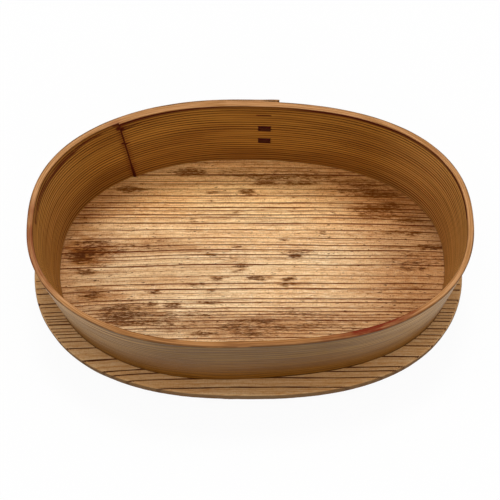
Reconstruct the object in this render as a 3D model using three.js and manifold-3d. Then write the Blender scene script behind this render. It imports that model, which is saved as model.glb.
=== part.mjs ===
// One open half of an oval bentwood lunch box: a bent, laced band that stands in an overhanging board.
// Millimetres, +Z up, +X along the oval's length, +Y to the back wall, where the band's ends overlap.
// The origin is under the middle of the board.
import * as THREE from "three";
import { mergeVertices } from "three/addons/utils/BufferGeometryUtils.js";
import Module from "manifold-3d";

const wasm = await Module();
wasm.setup();

// Band: one long thin strip, bent into an oval, its shaved ends overlapping on the back wall
const BAND_LENGTH = 200;
const BAND_WIDTH = 120;
const BAND_HEIGHT = 60;
const BAND_THICKNESS = 2.8;
const SCARF_TIP = 0.7;
const GLUE_GAP = 0.1;
const RIM_ROUNDING = 0.5;
const OUTER_END_X = 15.6;
const INNER_END_X = -60.5;

// The ovals' form: a power of 2 is an ellipse, and a higher one is squarer
const BAND_POWER = 2.32;
const BOARD_POWER = 2.44;

// How far the hand-bent band departs from a true oval, all the way up and at the rim alone
const EGG_SHARE = 0.0125;
const EGG_TURN_SHARE = -0.003;
const SKEW_SHARE = 0.0045;
const RIM_EGG_SHARE = -0.0025;
const RIM_SKEW_SHARE = -0.004;
const RIM_STRETCH_SHARE = 0.0065;
const RIM_DRIFT_X = -0.6;
const BAND_SHIFT_X = 0.8;

// Board
const BOARD_THICKNESS = 10;
const BOARD_OVERHANG = 8.3;
const EDGE_ROUNDING = 1.4;
const GROOVE_DEPTH = 1.6;
const GROOVE_CLEARANCE = 0.15;

// Pegs, driven from beneath through the board into the band's lower edge
const PEG_COUNT = 10;
const PEG_HEAD_DIAMETER = 2.2;
const PEG_TIP_DIAMETER = 1.4;
const PEG_BITE = 6.5;
const PEG_RECESS = 0.3;
const PEG_CLEARANCE = 0.1;
const FIRST_PEG_FROM_END = 12;

// Bark lacing: a flat strip threaded in and out through slits near the band's outer end
const LACE_WIDTH = 6.3;
const LACE_THICKNESS = 0.45;
const LACE_CLEARANCE = 0.15;
const LACE_FROM_END = 7.3;
const TOP_SLIT_BELOW_RIM = 9.6;
const LOWEST_SLIT_HEIGHT = 9.6;
const STITCH_HEIGHT = 4.8;
const STITCH_COUNT = 2;
const BLIND_SLIT_FLOOR = 0.9;

// How far a cutter runs past the face it cuts
const OVERRUN = 1;

// Facets
const SINGLE_STEPS = 120;
const OVERLAP_STEPS = 20;
const BOARD_STEPS = 120;
const EDGE_STEPS = 2;
const PEG_SIDES = 10;
const HALVINGS = 50;
const LENGTH_STEPS = 720;
const TURN_NUDGE = 1e-4;

const FULL_TURN = 2 * Math.PI;
const GROOVE_FLOOR_Z = BOARD_THICKNESS - GROOVE_DEPTH;
const RIM_Z = BOARD_THICKNESS + BAND_HEIGHT;

// A point of a true oval, in the direction turn from its middle.
function ovalPoint(turn, power) {
  const alongX = Math.abs(Math.cos(turn)) / (BAND_LENGTH / 2);
  const alongY = Math.abs(Math.sin(turn)) / (BAND_WIDTH / 2);
  const reach = (alongX ** power + alongY ** power) ** (-1 / power);
  return new THREE.Vector2(Math.cos(turn), Math.sin(turn)).multiplyScalar(reach);
}

// A point of the band's nominal outer face at a height z, where rise is 0 at the board and 1 at the rim.
function bandPoint(turn, z) {
  const rise = (z - BOARD_THICKNESS) / BAND_HEIGHT;
  const egg = (EGG_SHARE + rise * RIM_EGG_SHARE) * Math.cos(3 * turn);
  const turnedEgg = EGG_TURN_SHARE * Math.sin(3 * turn);
  const stretch = rise * RIM_STRETCH_SHARE * Math.cos(2 * turn);
  const skew = (SKEW_SHARE + rise * RIM_SKEW_SHARE) * Math.sin(2 * turn);
  const point = ovalPoint(turn, BAND_POWER).multiplyScalar(1 + egg + turnedEgg + stretch + skew);
  point.x += BAND_SHIFT_X + rise * RIM_DRIFT_X;
  return point;
}

// The outward normal of a plan curve, from two points close to each other.
function outwardNormal(curve, turn) {
  const along = curve(turn + TURN_NUDGE).sub(curve(turn - TURN_NUDGE)).normalize();
  return new THREE.Vector2(along.y, -along.x);
}

// A point of the wall, depth inwards from the nominal outer face.
function wallPoint(turn, z, depth) {
  const curve = (t) => bandPoint(t, z);
  const plan = curve(turn).addScaledVector(outwardNormal(curve, turn), -depth);
  return new THREE.Vector3(plan.x, plan.y, z);
}

// Where the back wall's outer face has the given x.
function backTurnAt(x) {
  let low = 0;
  let high = Math.PI;
  for (let i = 0; i < HALVINGS; i++) {
    const middle = (low + high) / 2;
    if (bandPoint(middle, BOARD_THICKNESS).x > x) low = middle;
    else high = middle;
  }
  return (low + high) / 2;
}

// Where one comes after going a length clockwise round the band from a start, or back if it is negative.
function turnAfter(start, length) {
  const step = -Math.sign(length) * (FULL_TURN / LENGTH_STEPS);
  const pointAt = (turn) => bandPoint(turn, BOARD_THICKNESS);
  let left = Math.abs(length);
  let turn = start;
  for (;;) {
    const stride = pointAt(turn).distanceTo(pointAt(turn + step));
    if (stride >= left) return turn + step * (left / stride);
    left -= stride;
    turn += step;
  }
}

function bandPerimeter() {
  let length = 0;
  for (let i = 0; i < LENGTH_STEPS; i++) {
    const here = bandPoint((FULL_TURN * i) / LENGTH_STEPS, BOARD_THICKNESS);
    length += here.distanceTo(bandPoint((FULL_TURN * (i + 1)) / LENGTH_STEPS, BOARD_THICKNESS));
  }
  return length;
}

const OUTER_END_TURN = backTurnAt(OUTER_END_X);
const INNER_END_TURN = backTurnAt(INNER_END_X);

// Faces of the two layers, as depths, at a share of the way from the inner end to the outer end.
// Each layer thins steadily to its tip, so that together they stay one thickness and one tip thick.
function outerLayer(share) {
  const face = -(SCARF_TIP + GLUE_GAP) * share;
  return [face, face + BAND_THICKNESS + (SCARF_TIP - BAND_THICKNESS) * share];
}

function innerLayer(share) {
  const face = (BAND_THICKNESS + GLUE_GAP) * (1 - share);
  return [face, face + SCARF_TIP + (BAND_THICKNESS - SCARF_TIP) * share];
}

function overlapTurn(share) {
  return INNER_END_TURN + (OUTER_END_TURN - INNER_END_TURN) * share;
}

// The doubled wall's outer and inner face, as depths.
function doubledFaces(share) {
  return [outerLayer(share)[0], innerLayer(share)[1]];
}

// The wall's outer and inner face, as depths, at any turn.
function wallFaces(turn) {
  const pastInnerEnd = THREE.MathUtils.euclideanModulo(INNER_END_TURN - turn, FULL_TURN);
  const share = pastInnerEnd / (INNER_END_TURN - OUTER_END_TURN);
  return share > 1 ? [0, BAND_THICKNESS] : doubledFaces(share);
}

// Stations along the strip, clockwise: the inner layer, once round, then the outer layer.
function stripStations() {
  const stations = [];
  for (let i = 0; i < OVERLAP_STEPS; i++) {
    const share = i / OVERLAP_STEPS;
    stations.push({ turn: overlapTurn(share), faces: innerLayer(share) });
  }
  stations.push(...singleStations());
  for (let i = 1; i <= OVERLAP_STEPS; i++) {
    const share = i / OVERLAP_STEPS;
    stations.push({ turn: overlapTurn(share), faces: outerLayer(share) });
  }
  return stations;
}

// The stretch from the outer end round to the inner end, where the wall is one layer.
function singleStations() {
  const stations = [];
  const sweep = FULL_TURN - (INNER_END_TURN - OUTER_END_TURN);
  for (let i = 0; i <= SINGLE_STEPS; i++) {
    const turn = OUTER_END_TURN - (sweep * i) / SINGLE_STEPS;
    stations.push({ turn, faces: [0, BAND_THICKNESS] });
  }
  return stations;
}

// The section of the band at a station, from the outer lower corner over the rounded rim.
function bandSection({ turn, faces: [outer, inner] }) {
  const rounding = Math.min(RIM_ROUNDING, (inner - outer) / 3);
  return [
    wallPoint(turn, GROOVE_FLOOR_Z, outer),
    wallPoint(turn, RIM_Z - rounding, outer),
    wallPoint(turn, RIM_Z, outer + rounding),
    wallPoint(turn, RIM_Z, inner - rounding),
    wallPoint(turn, RIM_Z - rounding, inner),
    wallPoint(turn, GROOVE_FLOOR_Z, inner),
  ];
}

// A closed skin over sections of equally many points. A loop joins the last section to the first.
function loft(sections, isLoop) {
  const size = sections[0].length;
  const positions = sections.flat().flatMap((p) => [p.x, p.y, p.z]);
  const index = [];
  const spans = isLoop ? sections.length : sections.length - 1;
  for (let s = 0; s < spans; s++) {
    const next = (s + 1) % sections.length;
    for (let i = 0; i < size; i++) {
      const j = (i + 1) % size;
      const [a, b, c, d] = [s * size + i, s * size + j, next * size + j, next * size + i];
      index.push(a, b, c, a, c, d);
    }
  }
  if (!isLoop) {
    const last = (sections.length - 1) * size;
    for (let i = 1; i < size - 1; i++) {
      index.push(0, i + 1, i);
      index.push(last, last + i, last + i + 1);
    }
  }
  const geometry = new THREE.BufferGeometry();
  geometry.setAttribute("position", new THREE.Float32BufferAttribute(positions, 3));
  geometry.setIndex(index);
  return geometry;
}

// Booleans
function solidFrom(geometry) {
  const bare = new THREE.BufferGeometry();
  bare.setAttribute("position", geometry.getAttribute("position"));
  bare.setIndex(geometry.index);
  const merged = mergeVertices(bare);
  return new wasm.Manifold(
    new wasm.Mesh({
      numProp: 3,
      vertProperties: merged.getAttribute("position").array,
      triVerts: new Uint32Array(merged.index.array),
    }),
  );
}

function geometryFrom(solid) {
  const mesh = solid.getMesh();
  const geometry = new THREE.BufferGeometry();
  geometry.setAttribute("position", new THREE.BufferAttribute(mesh.vertProperties, 3));
  geometry.setIndex(new THREE.BufferAttribute(mesh.triVerts, 1));
  return geometry;
}

function cut(geometry, cutters) {
  let solid = solidFrom(geometry);
  for (const cutter of cutters) solid = solid.subtract(solidFrom(cutter));
  return geometryFrom(solid);
}

// Board
function boardBlank() {
  const oval = (turn) => ovalPoint(turn, BOARD_POWER);
  const outline = new THREE.Shape();
  const points = [];
  for (let i = 0; i < BOARD_STEPS; i++) {
    const turn = (FULL_TURN * i) / BOARD_STEPS;
    points.push(oval(turn).addScaledVector(outwardNormal(oval, turn), BOARD_OVERHANG));
  }
  outline.setFromPoints(points);
  const blank = new THREE.ExtrudeGeometry(outline, {
    depth: BOARD_THICKNESS - 2 * EDGE_ROUNDING,
    bevelThickness: EDGE_ROUNDING,
    bevelSize: EDGE_ROUNDING,
    bevelOffset: -EDGE_ROUNDING,
    bevelSegments: EDGE_STEPS,
  });
  return blank.translate(0, 0, EDGE_ROUNDING);
}

// The groove is the band's footprint with a clearance all round, and past both ends of the strip.
function grooveSection(turn, [outer, inner]) {
  const top = BOARD_THICKNESS + OVERRUN;
  return [
    wallPoint(turn, GROOVE_FLOOR_Z, outer - GROOVE_CLEARANCE),
    wallPoint(turn, top, outer - GROOVE_CLEARANCE),
    wallPoint(turn, top, inner + GROOVE_CLEARANCE),
    wallPoint(turn, GROOVE_FLOOR_Z, inner + GROOVE_CLEARANCE),
  ];
}

function groove() {
  const pastOuterEnd = turnAfter(OUTER_END_TURN, GROOVE_CLEARANCE);
  const pastInnerEnd = turnAfter(INNER_END_TURN, -GROOVE_CLEARANCE);
  const sections = [grooveSection(pastInnerEnd, doubledFaces(0))];
  for (let i = 0; i <= OVERLAP_STEPS; i++) {
    const share = i / OVERLAP_STEPS;
    sections.push(grooveSection(overlapTurn(share), doubledFaces(share)));
  }
  sections.push(grooveSection(pastOuterEnd, doubledFaces(1)));
  for (const { turn, faces } of singleStations().slice(1, -1)) {
    sections.push(grooveSection(turn, faces));
  }
  return loft(sections, true);
}

// Pegs
function pegPlaces() {
  const spacing = bandPerimeter() / PEG_COUNT;
  const places = [];
  for (let i = 0; i < PEG_COUNT; i++) {
    const turn = turnAfter(OUTER_END_TURN, FIRST_PEG_FROM_END + i * spacing);
    const [outer, inner] = wallFaces(turn);
    places.push(wallPoint(turn, BOARD_THICKNESS, (outer + inner) / 2).setZ(0));
  }
  return places;
}

function pegShape(bottom, top, clearance) {
  const pegTop = BOARD_THICKNESS + PEG_BITE;
  const radiusAt = (z) => {
    const share = (z - PEG_RECESS) / (pegTop - PEG_RECESS);
    return clearance + THREE.MathUtils.lerp(PEG_HEAD_DIAMETER, PEG_TIP_DIAMETER, share) / 2;
  };
  const shape = new THREE.CylinderGeometry(radiusAt(top), radiusAt(bottom), top - bottom, PEG_SIDES);
  return shape.rotateX(Math.PI / 2).translate(0, 0, (bottom + top) / 2);
}

function peg() {
  return pegShape(PEG_RECESS, BOARD_THICKNESS + PEG_BITE, 0);
}

function pegHoles() {
  const top = BOARD_THICKNESS + PEG_BITE + PEG_CLEARANCE;
  return pegPlaces().map((place) => pegShape(-OVERRUN, top, PEG_CLEARANCE).translate(...place));
}

// Lacing. Its own frame stands on the nominal outer face at the board's top: +X along the wall,
// +Y outwards and +Z up.
const LACE_TURN = turnAfter(OUTER_END_TURN, -LACE_FROM_END);
const LACE_FACES = wallFaces(LACE_TURN);

function laceFrame() {
  const curve = (turn) => bandPoint(turn, BOARD_THICKNESS);
  const out = outwardNormal(curve, LACE_TURN);
  const frame = new THREE.Matrix4().makeRotationZ(Math.atan2(out.y, out.x) - Math.PI / 2);
  return frame.setPosition(wallPoint(LACE_TURN, BOARD_THICKNESS, 0));
}

// A point of the wall in the lacing's frame, as (outwards, up).
function laceWallPoint(depth, height) {
  const point = wallPoint(LACE_TURN, BOARD_THICKNESS + height, depth);
  point.applyMatrix4(laceFrame().invert());
  return new THREE.Vector2(point.y, point.z);
}

const TOP_SLIT_HEIGHT = BAND_HEIGHT - TOP_SLIT_BELOW_RIM;

// Heights of the slits from the top one down, and whether the strip goes inwards through each.
function slits() {
  const found = [{ height: TOP_SLIT_HEIGHT, isInward: false }];
  const halfStitch = (STITCH_HEIGHT - LACE_THICKNESS) / 2;
  const pitch = (TOP_SLIT_HEIGHT - LOWEST_SLIT_HEIGHT) / (STITCH_COUNT + 1);
  for (let i = 1; i <= STITCH_COUNT; i++) {
    const middle = TOP_SLIT_HEIGHT - i * pitch;
    found.push({ height: middle + halfStitch, isInward: true });
    found.push({ height: middle - halfStitch, isInward: false });
  }
  found.push({ height: LOWEST_SLIT_HEIGHT, isInward: true, isBlind: true });
  return found;
}

// The strip's middle line, from its top end in the top slit to its lower end in the blind one.
function laceLine() {
  const outside = LACE_FACES[0] - LACE_CLEARANCE - LACE_THICKNESS / 2;
  const inside = LACE_FACES[1] + LACE_CLEARANCE + LACE_THICKNESS / 2;
  const line = [];
  for (const { height, isInward, isBlind } of slits()) {
    const from = isInward ? outside : inside;
    const to = isInward ? inside : outside;
    line.push(laceWallPoint(from, height));
    line.push(laceWallPoint(isBlind ? LACE_FACES[1] - BLIND_SLIT_FLOOR : to, height));
  }
  line[0] = laceWallPoint(LACE_FACES[1] - LACE_CLEARANCE, TOP_SLIT_HEIGHT);
  return line;
}

// One side of a strip along a line, with mitred corners.
function offsetLine(line, distance) {
  const normals = line.slice(1).map((point, i) => {
    const along = point.clone().sub(line[i]).normalize();
    return new THREE.Vector2(-along.y, along.x);
  });
  return line.map((point, i) => {
    const before = normals[Math.max(i - 1, 0)];
    const after = normals[Math.min(i, normals.length - 1)];
    const mitre = before.clone().add(after).divideScalar(1 + before.dot(after));
    return point.clone().addScaledVector(mitre, distance);
  });
}

function laceStrip() {
  const line = laceLine();
  const left = offsetLine(line, LACE_THICKNESS / 2);
  const right = offsetLine(line, -LACE_THICKNESS / 2);
  const section = new THREE.Shape([...left, ...right.reverse()]);
  const strip = new THREE.ExtrudeGeometry(section, { depth: LACE_WIDTH, bevelEnabled: false });
  // The section's plane becomes the frame's outward and up plane, and its depth the wall's direction.
  const axes = new THREE.Matrix4().makeBasis(
    new THREE.Vector3(0, 1, 0),
    new THREE.Vector3(0, 0, 1),
    new THREE.Vector3(1, 0, 0),
  );
  return strip.applyMatrix4(axes).translate(-LACE_WIDTH / 2, 0, 0);
}

function slitCutters() {
  return slits().map(({ height, isBlind }) => {
    const inner = isBlind ? LACE_FACES[1] - BLIND_SLIT_FLOOR + LACE_CLEARANCE : LACE_FACES[1] + OVERRUN;
    const outermost = laceWallPoint(LACE_FACES[0] - OVERRUN, height);
    const innermost = laceWallPoint(inner, height);
    const cutter = new THREE.BoxGeometry(
      LACE_WIDTH + 2 * LACE_CLEARANCE,
      outermost.x - innermost.x,
      LACE_THICKNESS + 2 * LACE_CLEARANCE,
    );
    cutter.translate(0, (outermost.x + innermost.x) / 2, height);
    return cutter.applyMatrix4(laceFrame());
  });
}

// Pieces
const BOARD_WOOD = new THREE.MeshStandardMaterial({ color: 0xc08a55, roughness: 0.6, metalness: 0 });
const BAND_WOOD = new THREE.MeshStandardMaterial({ color: 0xa87038, roughness: 0.55, metalness: 0 });
const PEG_WOOD = new THREE.MeshStandardMaterial({ color: 0xd2ab72, roughness: 0.6, metalness: 0 });
const BARK = new THREE.MeshStandardMaterial({ color: 0x4a1c12, roughness: 0.35, metalness: 0 });

function piece(name, geometry, material) {
  const mesh = new THREE.Mesh(geometry, material);
  mesh.name = name;
  return mesh;
}

const lunchBox = new THREE.Group();

lunchBox.add(piece("base_board", cut(boardBlank(), [groove(), ...pegHoles()]), BOARD_WOOD));

const bandBlank = loft(stripStations().map(bandSection), false);
lunchBox.add(piece("side_band", cut(bandBlank, [...slitCutters(), ...pegHoles()]), BAND_WOOD));

const lacing = piece("bark_lacing", laceStrip(), BARK);
lacing.applyMatrix4(laceFrame());
lunchBox.add(lacing);

pegPlaces().forEach((place, i) => {
  const pin = piece(`peg_${i + 1}`, peg(), PEG_WOOD);
  pin.position.copy(place);
  lunchBox.add(pin);
});

export default lunchBox;
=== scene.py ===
# One open half of an oval bentwood lunch box: a bent cedar band, laced with bark, that stands in an
# overhanging cedar board. The shapes below are in millimetres, +Z up, with the origin under the middle
# of the board; they become metres where a mesh is made.
import math
from functools import reduce

import bmesh
import bpy
import numpy as np
from mathutils import Matrix


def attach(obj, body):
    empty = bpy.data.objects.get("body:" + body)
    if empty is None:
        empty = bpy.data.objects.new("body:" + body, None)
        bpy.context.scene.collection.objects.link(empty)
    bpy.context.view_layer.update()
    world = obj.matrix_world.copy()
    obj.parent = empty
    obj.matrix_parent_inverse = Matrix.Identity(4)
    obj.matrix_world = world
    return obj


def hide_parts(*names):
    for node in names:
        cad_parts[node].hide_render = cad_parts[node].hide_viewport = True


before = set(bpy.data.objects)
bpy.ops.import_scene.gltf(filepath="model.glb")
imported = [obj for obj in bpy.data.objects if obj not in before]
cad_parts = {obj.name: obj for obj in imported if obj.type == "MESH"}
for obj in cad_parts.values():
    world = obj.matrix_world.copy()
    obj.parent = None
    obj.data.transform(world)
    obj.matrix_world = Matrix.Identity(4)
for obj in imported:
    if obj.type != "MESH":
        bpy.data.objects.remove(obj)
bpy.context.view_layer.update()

METRES = 0.001
SEED = 7
FULL_TURN = 2 * math.pi

# Band, as in the solids
BAND_LENGTH = 200
BAND_WIDTH = 120
BAND_HEIGHT = 60
BAND_THICKNESS = 2.8
SCARF_TIP = 0.7
GLUE_GAP = 0.1
OUTER_END_X = 15.6
INNER_END_X = -60.5
BAND_POWER = 2.32
BOARD_POWER = 2.44
EGG_SHARE = 0.0125
EGG_TURN_SHARE = -0.003
SKEW_SHARE = 0.0045
RIM_EGG_SHARE = -0.0025
RIM_SKEW_SHARE = -0.004
RIM_STRETCH_SHARE = 0.0065
RIM_DRIFT_X = -0.6
BAND_SHIFT_X = 0.8

# Board, pegs and lacing, as in the solids
BOARD_THICKNESS = 10
BOARD_OVERHANG = 8.3
EDGE_ROUNDING = 1.4
GROOVE_DEPTH = 1.6
GROOVE_CLEARANCE = 0.15
PEG_COUNT = 10
PEG_HEAD_DIAMETER = 2.2
PEG_TIP_DIAMETER = 1.4
PEG_BITE = 6.5
PEG_RECESS = 0.3
PEG_CLEARANCE = 0.1
FIRST_PEG_FROM_END = 12
LACE_WIDTH = 6.3
LACE_THICKNESS = 0.45
LACE_CLEARANCE = 0.15
LACE_FROM_END = 7.3
TOP_SLIT_HEIGHT = 50.4
LOWEST_SLIT_HEIGHT = 9.6
STITCH_HEIGHT = 4.8
STITCH_COUNT = 2
BLIND_SLIT_FLOOR = 0.9

GROOVE_FLOOR_Z = BOARD_THICKNESS - GROOVE_DEPTH
RIM_Z = BOARD_THICKNESS + BAND_HEIGHT
PEG_TOP_Z = BOARD_THICKNESS + PEG_BITE

# ---------------------------------------------------------------- plan curves
TURN_NUDGE = 1e-4
HALVINGS = 50
LENGTH_STEPS = 1440


def oval(turn, power):
    """A power of 2 is an ellipse, and a higher one is squarer."""
    across = np.abs(np.cos(turn)) / (BAND_LENGTH / 2)
    along = np.abs(np.sin(turn)) / (BAND_WIDTH / 2)
    reach = (across**power + along**power) ** (-1 / power)
    return np.stack([np.cos(turn) * reach, np.sin(turn) * reach], -1)


def band_plan(turn, z):
    """The band's nominal outer face at a height z."""
    turn, z = np.broadcast_arrays(np.asarray(turn, float), np.asarray(z, float))
    rise = (z - BOARD_THICKNESS) / BAND_HEIGHT
    swell = (EGG_SHARE + rise * RIM_EGG_SHARE) * np.cos(3 * turn)
    swell = swell + EGG_TURN_SHARE * np.sin(3 * turn)
    swell = swell + rise * RIM_STRETCH_SHARE * np.cos(2 * turn)
    swell = swell + (SKEW_SHARE + rise * RIM_SKEW_SHARE) * np.sin(2 * turn)
    plan = oval(turn, BAND_POWER) * (1 + swell)[..., None]
    plan[..., 0] += BAND_SHIFT_X + rise * RIM_DRIFT_X
    return plan


def plan_normal(curve, turn):
    along = curve(turn + TURN_NUDGE) - curve(turn - TURN_NUDGE)
    along /= np.linalg.norm(along, axis=-1, keepdims=True)
    return np.stack([along[..., 1], -along[..., 0]], -1)


def wall_point(turn, z, depth):
    """A point of the wall, depth inwards from the nominal outer face."""
    turn, z, depth = np.broadcast_arrays(*(np.asarray(v, float) for v in (turn, z, depth)))
    plan = band_plan(turn, z) - plan_normal(lambda t: band_plan(t, z), turn) * depth[..., None]
    return np.concatenate([plan, z[..., None]], -1)


def back_turn_at(x):
    low, high = 0.0, math.pi
    for _ in range(HALVINGS):
        middle = (low + high) / 2
        if band_plan(middle, BOARD_THICKNESS)[0] > x:
            low = middle
        else:
            high = middle
    return low


OUTER_END_TURN = back_turn_at(OUTER_END_X)
INNER_END_TURN = back_turn_at(INNER_END_X)
OVERLAP_SWEEP = INNER_END_TURN - OUTER_END_TURN


def length_table():
    """The turn gone and the length along the band, clockwise from the outer end."""
    swept = np.linspace(0, FULL_TURN, LENGTH_STEPS + 1)
    plan = band_plan(OUTER_END_TURN - swept, BOARD_THICKNESS)
    return swept, np.concatenate([[0], np.cumsum(np.linalg.norm(np.diff(plan, axis=0), axis=1))])


SWEPT, LENGTHS = length_table()
PERIMETER = LENGTHS[-1]


def turn_after(length):
    """Where one comes after a length clockwise from the outer end."""
    return OUTER_END_TURN - np.interp(np.mod(length, PERIMETER), LENGTHS, SWEPT)


def length_at(turn):
    return np.interp(np.mod(OUTER_END_TURN - turn, FULL_TURN), SWEPT, LENGTHS)


def outer_layer(share):
    """Outer and inner depth of the lap's outer layer, from the lap's start (0) to its thin tip (1)."""
    face = -(SCARF_TIP + GLUE_GAP) * share
    return face, face + BAND_THICKNESS + (SCARF_TIP - BAND_THICKNESS) * share


def inner_layer(share):
    """Outer and inner depth of the lap's inner layer, from its thin tip (0) to the lap's end (1)."""
    face = (BAND_THICKNESS + GLUE_GAP) * (1 - share)
    return face, face + SCARF_TIP + (BAND_THICKNESS - SCARF_TIP) * share


def wall_faces(turn):
    """The wall's outer and inner face, as depths, at any turn."""
    share = np.mod(INNER_END_TURN - turn, FULL_TURN) / OVERLAP_SWEEP
    doubled = share <= 1
    outer = np.where(doubled, outer_layer(share)[0], 0)
    inner = np.where(doubled, inner_layer(share)[1], BAND_THICKNESS)
    return outer, inner


# ---------------------------------------------------------------- smooth noise and falloffs for shapes
TABLE_SIZE = 512
PLANE_TABLE_SIZE = 128
SHIFT_PER_SEED = 97.3
PLANE_SHIFT = (31.7, 17.9)


def smooth(part):
    return part * part * (3 - 2 * part)


def ease(value, low, high):
    """0 up to low, then smoothly up to 1 at high. High may be the lower one."""
    return smooth(np.clip((np.asarray(value, float) - low) / (high - low), 0, 1))


def bump_at(value, centre, half):
    """1 at the centre, easing to 0 at half away from it."""
    return 1 - ease(np.abs(np.asarray(value, float) - centre), 0, half)


def wander(values, step, seed, size=1.0):
    """Smooth noise of about unit swing along one coordinate, the same each run."""
    table = np.random.default_rng(SEED + seed).uniform(-1, 1, TABLE_SIZE)
    place = np.asarray(values, float) / step + SHIFT_PER_SEED * seed
    cell = np.floor(place).astype(int)
    part = smooth(place - cell)
    return size * (table[cell % TABLE_SIZE] * (1 - part) + table[(cell + 1) % TABLE_SIZE] * part)


def wander2(x, y, step_x, step_y, seed, size=1.0):
    """Smooth noise over a plane."""
    table = np.random.default_rng(SEED + seed).uniform(-1, 1, (PLANE_TABLE_SIZE, PLANE_TABLE_SIZE))
    px = np.asarray(x, float) / step_x + PLANE_SHIFT[0]
    py = np.asarray(y, float) / step_y + PLANE_SHIFT[1]
    cx, cy = np.floor(px).astype(int), np.floor(py).astype(int)
    fx, fy = smooth(px - cx), smooth(py - cy)

    def row(j):
        left, right = (table[(cx + i) % PLANE_TABLE_SIZE, (cy + j) % PLANE_TABLE_SIZE] for i in (0, 1))
        return left * (1 - fx) + right * fx

    return size * (row(0) * (1 - fy) + row(1) * fy)


def strongest_spot(spots, x, y, fray, low, high):
    """Soft ovals with frayed edges, given as (x, y, half length, half width, strength)."""
    found = np.zeros_like(x)
    for place_x, place_y, half_length, half_width, strength in spots:
        away = np.hypot((x - place_x) / half_length, (y - place_y) / half_width)
        found = np.maximum(found, strength * (1 - ease(away + fray, low, high)))
    return found


# ---------------------------------------------------------------- meshes
SAME_SPOT = 2e-7
STRAIGHT = 2e-6
CREASE_DEGREES = 32

# Faces of a block whose corners run along its first direction fastest
BLOCK_FACES = [(0, 2, 3, 1), (4, 5, 7, 6), (0, 1, 5, 4), (2, 6, 7, 3), (0, 4, 6, 2), (1, 3, 7, 5)]


def add_object(name, data):
    thing = bpy.data.objects.new(name, data)
    bpy.context.scene.collection.objects.link(thing)
    return thing


def mesh_object(name, points, faces):
    mesh = bpy.data.meshes.new(name)
    mesh.from_pydata((np.asarray(points, float).reshape(-1, 3) * METRES).tolist(), [], faces)
    mesh.validate()
    return add_object(name, mesh)


def closed(name, points, faces):
    """A closed mesh with its faces turned outwards."""
    thing = mesh_object(name, points, faces)
    work = bmesh.new()
    work.from_mesh(thing.data)
    bmesh.ops.recalc_face_normals(work, faces=work.faces)
    work.to_mesh(thing.data)
    work.free()
    return thing


def ring_faces(rings, size, is_loop=False):
    """Quads over rings of equally many points, each ring closed."""
    faces = []
    for r in range(rings if is_loop else rings - 1):
        here, there = r * size, ((r + 1) % rings) * size
        for i in range(size):
            j = (i + 1) % size
            faces.append((here + i, here + j, there + j, there + i))
    return faces


def capped(name, rings):
    """A closed mesh over rings of equally many points, with a cap at each end."""
    count, size = len(rings), len(rings[0])
    caps = [list(range(size))[::-1], list(range((count - 1) * size, count * size))]
    return closed(name, rings, ring_faces(count, size) + caps)


def turned(name, profile, sides, place):
    """A closed turned solid from (radius, z) pairs, bottom up."""
    turn = np.linspace(0, FULL_TURN, sides, endpoint=False)
    rings = [np.stack([r * np.cos(turn), r * np.sin(turn), np.full(sides, z)], -1) for r, z in profile]
    return capped(name, np.array(rings) + place)


def cut_with(thing, cutters, operation="DIFFERENCE"):
    """Cuts a closed mesh with closed cutters, which are then gone."""
    for cutter in cutters:
        step = thing.modifiers.new("cut", "BOOLEAN")
        step.operation = operation
        step.solver = "MANIFOLD"
        step.object = cutter
    bpy.context.view_layer.update()
    cut = thing.evaluated_get(bpy.context.evaluated_depsgraph_get())
    final = bpy.data.meshes.new_from_object(cut)
    thing.modifiers.clear()
    old, thing.data = thing.data, final
    final.name = thing.name
    bpy.data.meshes.remove(old)
    for cutter in cutters:
        tool = cutter.data
        bpy.data.objects.remove(cutter)
        bpy.data.meshes.remove(tool)


def clean_cut(thing):
    """Joins points that the cuts left on one spot, and takes out points along a straight edge."""
    work = bmesh.new()
    work.from_mesh(thing.data)
    bmesh.ops.remove_doubles(work, verts=work.verts, dist=SAME_SPOT)
    spare = []
    for vert in work.verts:
        if len(vert.link_edges) == 2:
            start, stop = (edge.other_vert(vert).co for edge in vert.link_edges)
            if (vert.co - start).cross(stop - start).length < STRAIGHT * (stop - start).length:
                spare.append(vert)
    bmesh.ops.dissolve_verts(work, verts=spare)
    work.to_mesh(thing.data)
    work.free()


def vertices_of(thing):
    """The mesh's points in millimetres."""
    points = np.empty(len(thing.data.vertices) * 3)
    thing.data.vertices.foreach_get("co", points)
    return points.reshape(-1, 3) / METRES


def write_fields(thing, **fields):
    """Keeps numbers or vectors per point, for the materials."""
    for name, values in fields.items():
        values = np.asarray(values, float)
        kind, key = ("FLOAT", "value") if values.ndim == 1 else ("FLOAT_VECTOR", "vector")
        thing.data.attributes.new(name, kind, "POINT").data.foreach_set(key, values.ravel())


def finish_piece(thing, nodes, material, crease_degrees=CREASE_DEGREES):
    thing.data.materials.clear()
    thing.data.materials.append(material)
    thing.data.shade_smooth()
    thing.data.set_sharp_from_angle(angle=math.radians(crease_degrees))
    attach(thing, "root")
    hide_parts(*nodes)


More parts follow.
